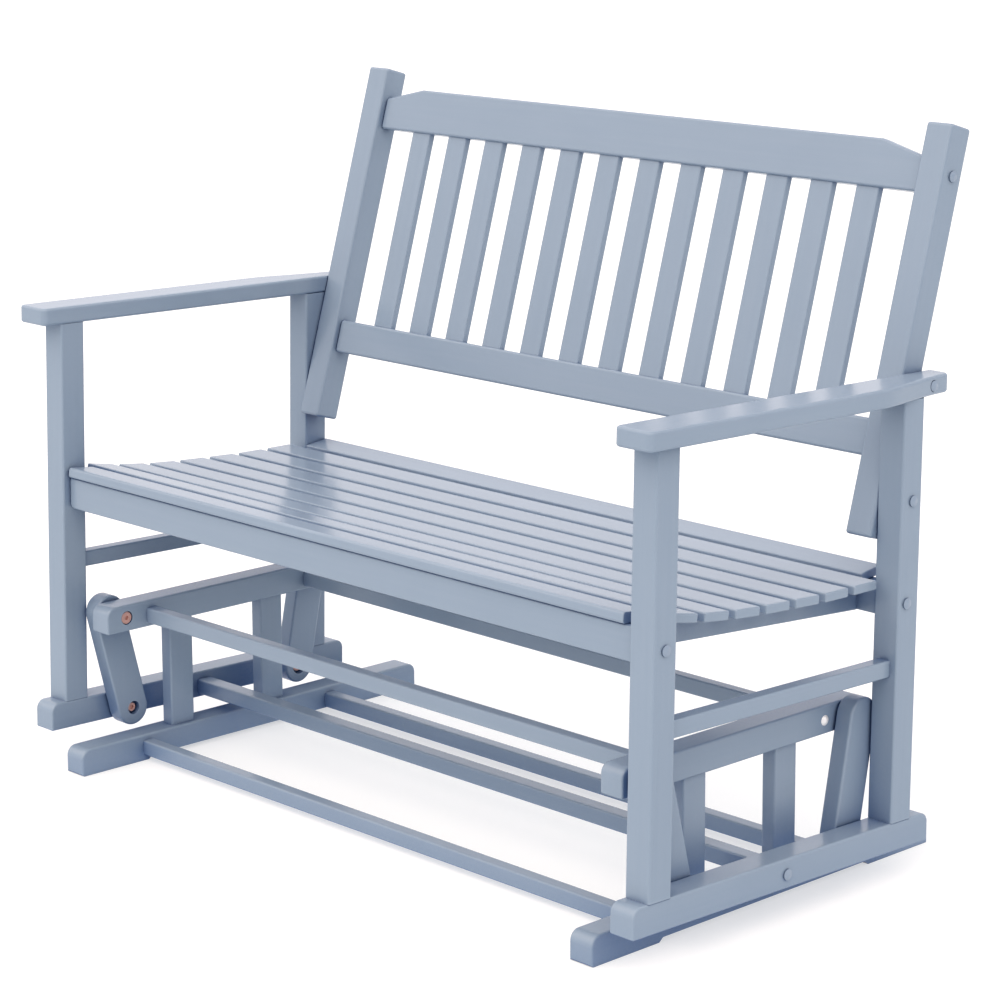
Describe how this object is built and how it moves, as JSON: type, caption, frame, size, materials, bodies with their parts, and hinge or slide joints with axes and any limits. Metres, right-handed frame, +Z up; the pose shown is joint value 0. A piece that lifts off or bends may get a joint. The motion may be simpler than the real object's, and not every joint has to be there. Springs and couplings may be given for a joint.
{
  "type": "glider bench",
  "caption": "Slatted painted timber bench with armrests, hung on swinging links from a low floor base so that the seat glides forwards and back.",
  "frame": {"origin": "middle of the overall footprint in plan, at floor level", "axes": "+X to the right as seen from the front, +Y towards the back, +Z up"},
  "size_m": [1.2386, 0.6612, 0.9705],
  "materials": {
    "painted_timber": "satin blue-grey paint",
    "painted_caps": "satin blue paint",
    "copper_metal": "copper-bronze plated",
    "bright_metal": "bright",
    "dark_metal": "dull"
  },
  "bodies": {
    "base": {"base_dome_bolts": "bright_metal", "base_post_front_left": "painted_timber", "base_post_front_right": "painted_timber", "base_post_rear_left": "painted_timber", "base_post_rear_right": "painted_timber", "base_runner_left": "painted_timber", "base_runner_right": "painted_timber", "base_sleeves": "dark_metal", "base_stretcher_bottom_front": "painted_timber", "base_stretcher_bottom_rear": "painted_timber", "base_stretcher_top_front": "painted_timber", "base_stretcher_top_rear": "painted_timber", "base_top_rail_left": "painted_timber", "base_top_rail_right": "painted_timber"},
    "link_front_left_arm": {"link_front_left": "painted_timber", "pivot_bolt_front_left": "copper_metal"},
    "link_front_right_arm": {"link_front_right": "painted_timber", "pivot_bolt_front_right": "copper_metal"},
    "link_rear_left_arm": {"link_rear_left": "painted_timber", "pivot_bolt_rear_left": "copper_metal"},
    "link_rear_right_arm": {"link_rear_right": "painted_timber", "pivot_bolt_rear_right": "copper_metal"},
    "seat": {"armrest_left": "painted_timber", "armrest_right": "painted_timber", "back_lower_rail": "painted_timber", "back_slat_01": "painted_timber", "back_slat_02": "painted_timber", "back_slat_03": "painted_timber", "back_slat_04": "painted_timber", "back_slat_05": "painted_timber", "back_slat_06": "painted_timber", "back_slat_07": "painted_timber", "back_slat_08": "painted_timber", "back_slat_09": "painted_timber", "back_slat_10": "painted_timber", "back_slat_11": "painted_timber", "back_slat_12": "painted_timber", "back_stile_left": "painted_timber", "back_stile_right": "painted_timber", "back_top_rail": "painted_timber", "front_apron": "painted_timber", "front_leg_left": "painted_timber", "front_leg_right": "painted_timber", "rear_apron": "painted_timber", "rear_leg_left": "painted_timber", "rear_leg_right": "painted_timber", "seat_bottom_rail_left": "painted_timber", "seat_bottom_rail_right": "painted_timber", "seat_cap_bolts": "painted_caps", "seat_mid_stretcher": "painted_timber", "seat_pivot_bolts": "copper_metal", "seat_pivot_washers": "dark_metal", "seat_side_rail_left": "painted_timber", "seat_side_rail_right": "painted_timber", "seat_slat_front": "painted_timber", "seat_slat_rear": "painted_timber", "seat_slats_middle": "painted_timber", "side_stretcher_left": "painted_timber", "side_stretcher_right": "painted_timber"}
  },
  "joints": [
    {"name": "glide_front_left", "type": "hinge", "parent": "base", "child": "link_front_left_arm", "pos_m": [-0.5454, -0.2431, 0.2184], "axis": [1, 0, 0], "range_deg": [-16, 14]},
    {"name": "glide_front_right", "type": "hinge", "parent": "base", "child": "link_front_right_arm", "pos_m": [0.5454, -0.2431, 0.2184], "axis": [1, 0, 0], "range_deg": [-16.1, 14.1]},
    {"name": "glide_rear_left", "type": "hinge", "parent": "base", "child": "link_rear_left_arm", "pos_m": [-0.5454, 0.14, 0.2184], "axis": [1, 0, 0], "range_deg": [-16.1, 14.1]},
    {"name": "glide_rear_right", "type": "hinge", "parent": "base", "child": "link_rear_right_arm", "pos_m": [0.5454, 0.14, 0.2184], "axis": [1, 0, 0], "range_deg": [-16.1, 14.1]},
    {"name": "seat_on_front_left_link", "type": "hinge", "parent": "link_front_left_arm", "child": "seat", "pos_m": [-0.5454, -0.2057, 0.06798], "axis": [1, 0, 0], "range_deg": [-17.1, 19.5]}
  ],
  "couplings": [
    {"joint": "glide_front_right", "follows": "glide_front_left", "ratio": 1},
    {"joint": "glide_rear_left", "follows": "glide_front_left", "ratio": 0.9961},
    {"joint": "glide_rear_right", "follows": "glide_front_left", "ratio": 0.9961},
    {"joint": "seat_on_front_left_link", "follows": "glide_front_left", "ratio": -1.209}
  ]
}
